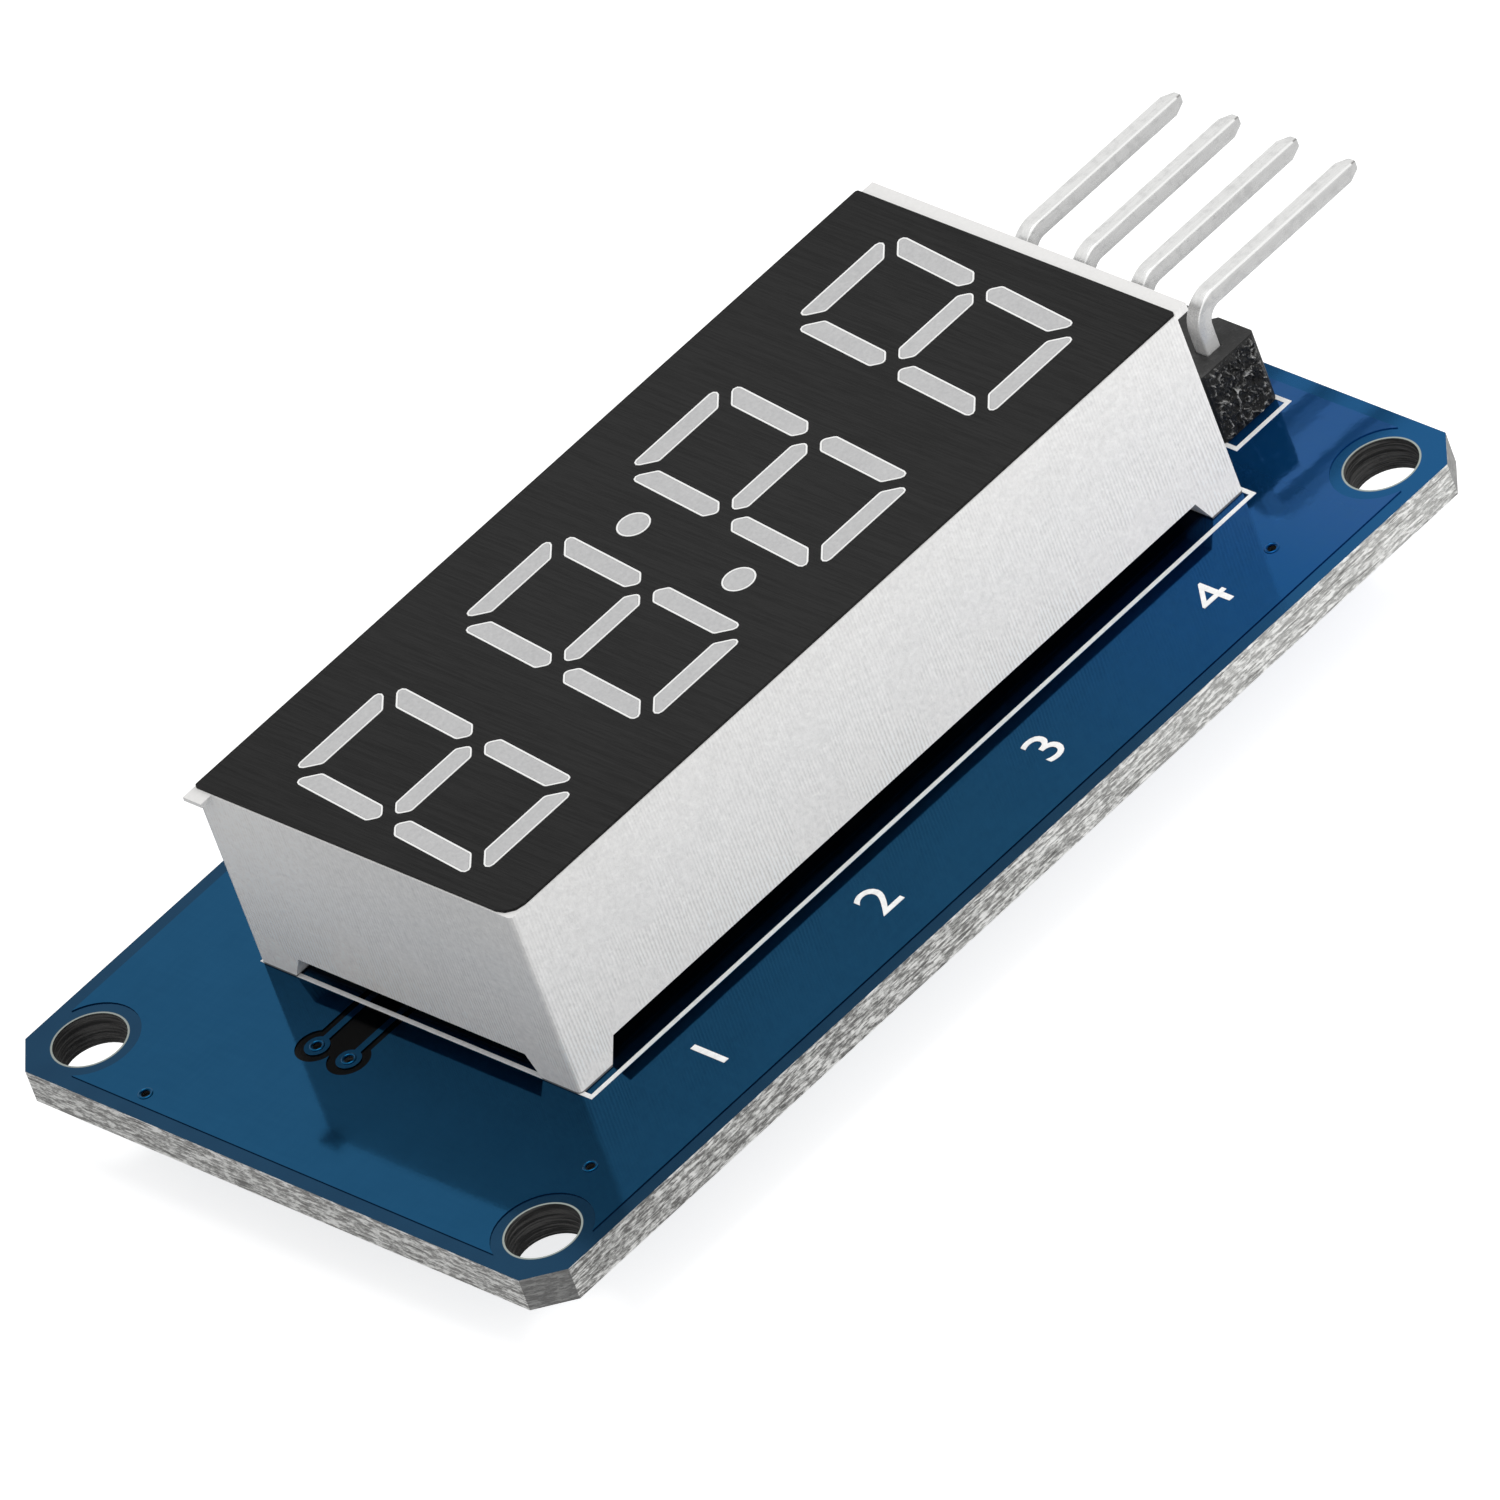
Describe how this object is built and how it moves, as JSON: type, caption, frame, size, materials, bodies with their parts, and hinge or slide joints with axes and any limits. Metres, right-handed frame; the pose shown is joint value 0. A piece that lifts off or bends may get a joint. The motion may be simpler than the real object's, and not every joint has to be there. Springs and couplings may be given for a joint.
{
  "type": "seven segment display module",
  "caption": "Slim white clock display block with a black face of slanted segment digits and a colon, soldered on a blue circuit board with corner mounting holes and a right angle pin header.",
  "frame": {"origin": "centre of the four mounting holes, on the underside of the circuit board", "axes": "+X along the board towards the pin header, +Y towards the top of the digits, +Z out of the face"},
  "size_m": [0.0471, 0.024, 0.0108],
  "materials": {
    "solder_mask": "gloss",
    "white_plastic": "satin",
    "black_film": "fine hairline satin",
    "milky_resin": "frosted",
    "carrier_laminate": "satin",
    "die_crystal": "gloss",
    "clear_resin": "satin",
    "tin": "bright tin plate",
    "solder": "bright",
    "black_plastic": "matte",
    "chip_body": "fine matte",
    "resistor_body": "glazed",
    "capacitor_body": "satin"
  },
  "bodies": {
    "root": {"circuit_board": "solder_mask", "display_housing": "white_plastic", "face_film": "black_film", "segment_1a": "milky_resin", "segment_1b": "milky_resin", "segment_1c": "milky_resin", "segment_1d": "milky_resin", "segment_1e": "milky_resin", "segment_1f": "milky_resin", "segment_1g": "milky_resin", "segment_2a": "milky_resin", "segment_2b": "milky_resin", "segment_2c": "milky_resin", "segment_2d": "milky_resin", "segment_2e": "milky_resin", "segment_2f": "milky_resin", "segment_2g": "milky_resin", "segment_3a": "milky_resin", "segment_3b": "milky_resin", "segment_3c": "milky_resin", "segment_3d": "milky_resin", "segment_3e": "milky_resin", "segment_3f": "milky_resin", "segment_3g": "milky_resin", "segment_4a": "milky_resin", "segment_4b": "milky_resin", "segment_4c": "milky_resin", "segment_4d": "milky_resin", "segment_4e": "milky_resin", "segment_4f": "milky_resin", "segment_4g": "milky_resin", "colon_upper": "milky_resin", "colon_lower": "milky_resin", "carrier_board": "carrier_laminate", "led_dies": "die_crystal", "potting_resin": "clear_resin", "display_pins": "tin", "display_solder": "solder", "header_block": "black_plastic", "header_pin_1": "tin", "header_pin_2": "tin", "header_pin_3": "tin", "header_pin_4": "tin", "header_solder": "solder", "driver_chip": "chip_body", "chip_leads": "tin", "chip_solder": "solder", "capacitor_1": "capacitor_body", "resistor_1": "resistor_body", "resistor_2": "resistor_body", "capacitor_2": "capacitor_body", "capacitor_3": "capacitor_body", "chip_part_solder": "solder"}
  },
  "joints": []
}
